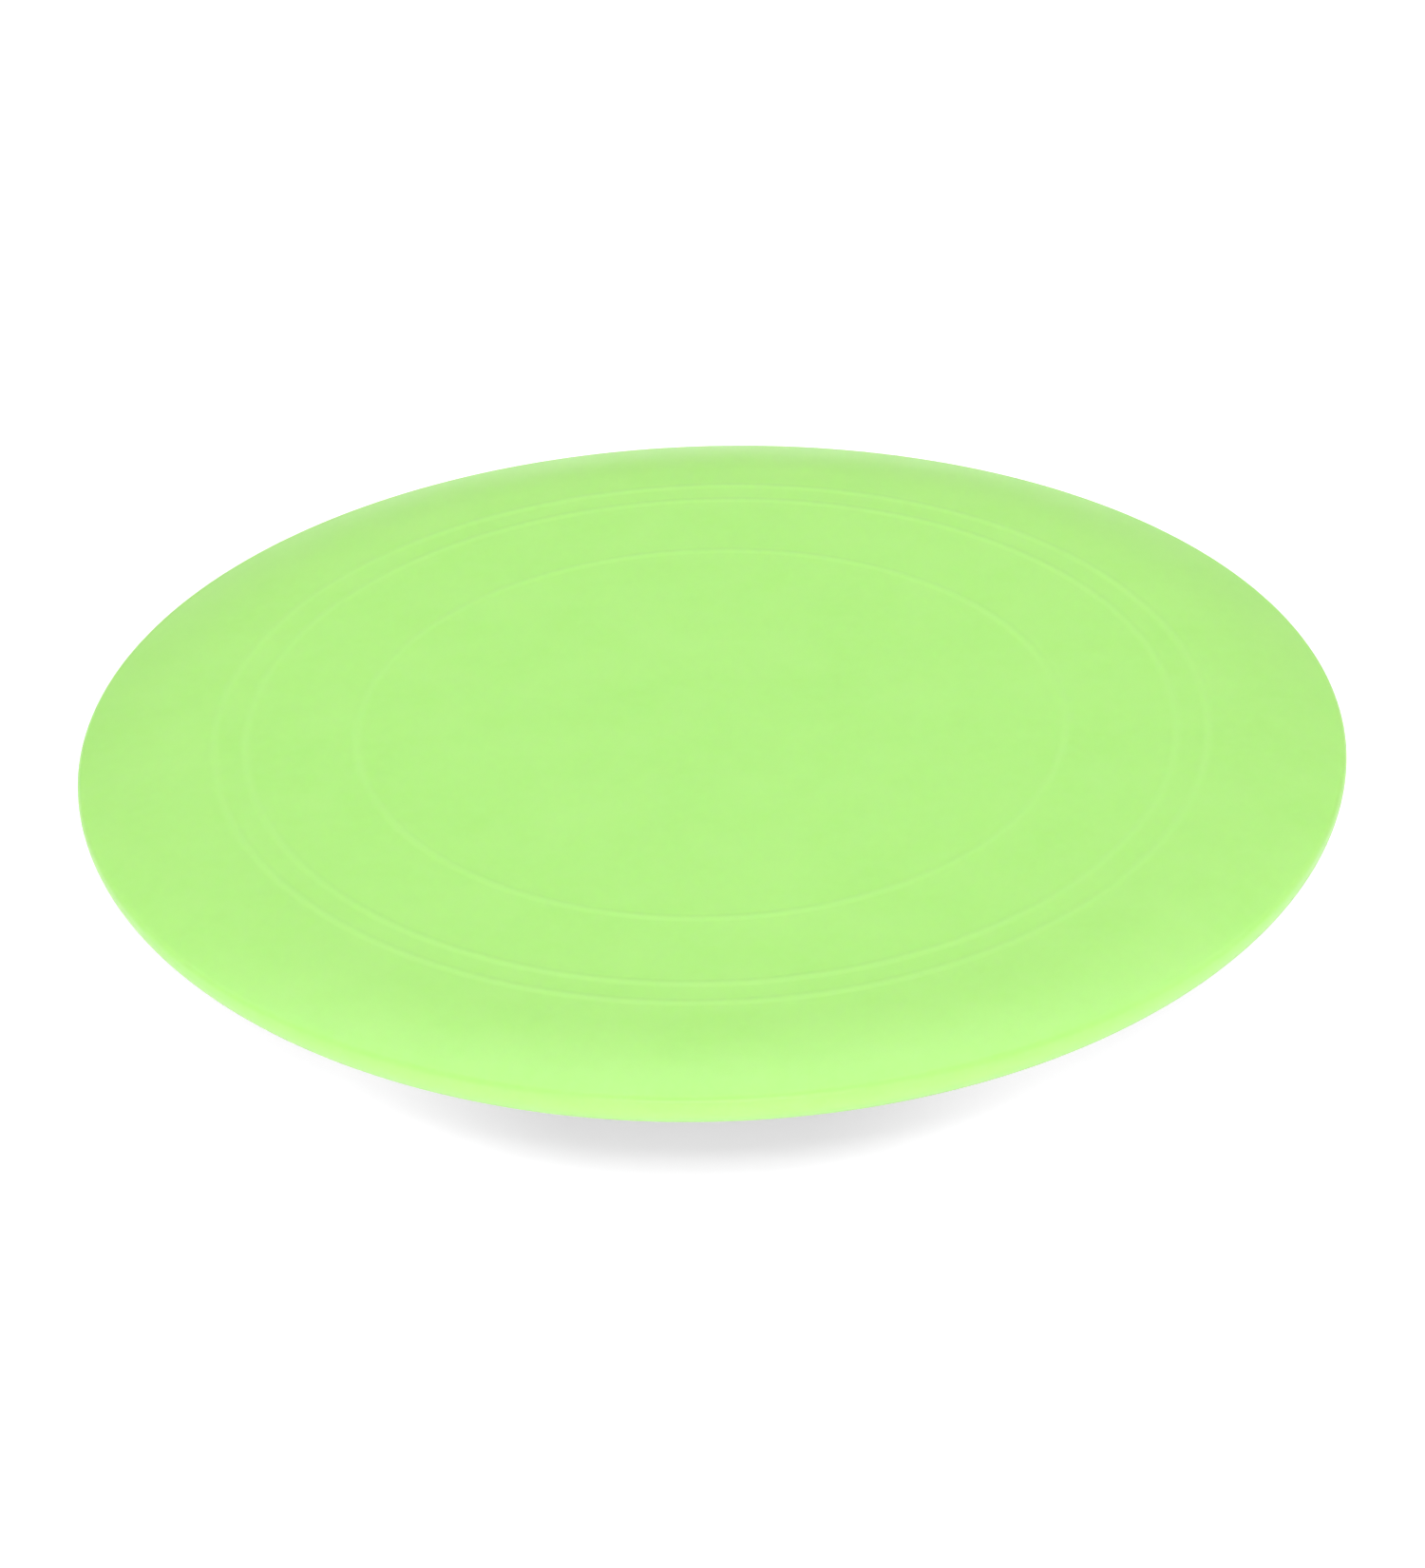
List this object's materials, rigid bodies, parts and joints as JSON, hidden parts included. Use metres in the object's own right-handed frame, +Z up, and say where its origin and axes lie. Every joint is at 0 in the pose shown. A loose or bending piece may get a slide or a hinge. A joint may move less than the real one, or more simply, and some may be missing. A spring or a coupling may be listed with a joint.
{
  "type": "soft flying disc",
  "caption": "Soft moulded silicone flying disc with a closed domed middle, thin raised rings and a rolled-under rim that leaves a finger pocket underneath.",
  "frame": {"origin": "centre of the disc, on the plane of the lip's flat resting face", "axes": "+Z up along the disc's axis of revolution, out of its domed top; X and Y are any two radii"},
  "size_m": [0.18, 0.18, 0.0136],
  "materials": {
    "silicone": "matte"
  },
  "bodies": {
    "root": {"flight_plate": "silicone", "inner_ridge": "silicone", "middle_ridge": "silicone", "outer_ridge": "silicone", "shoulder": "silicone", "rim_wall": "silicone", "rim_curl": "silicone", "lip": "silicone"}
  },
  "joints": []
}
